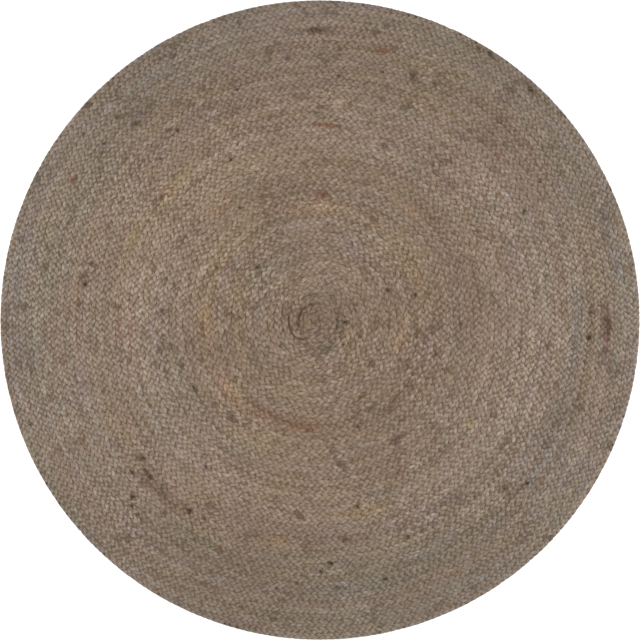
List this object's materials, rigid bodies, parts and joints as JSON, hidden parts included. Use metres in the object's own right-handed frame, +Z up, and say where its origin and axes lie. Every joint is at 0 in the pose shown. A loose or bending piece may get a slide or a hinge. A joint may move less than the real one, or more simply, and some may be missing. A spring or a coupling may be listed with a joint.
{
  "type": "round braided jute rug",
  "caption": "Flat round floor rug of braided jute, coiled from the centre and sewn edge to edge, with ridged rows and a rounded rim.",
  "frame": {"origin": "middle of the flat underside, on the surface the rug lies on", "axes": "+Z up through the rug's thickness; seen from above the coil winds outward clockwise; +X is the right of the picture and +Y its top"},
  "size_m": [1.2, 1.2, 0.0086],
  "materials": {
    "jute": "natural undyed jute yarn, matt, uneven taupe grey-brown with olive, pinkish and grey lengths"
  },
  "bodies": {
    "root": {"braided_rug": "jute"}
  },
  "joints": []
}
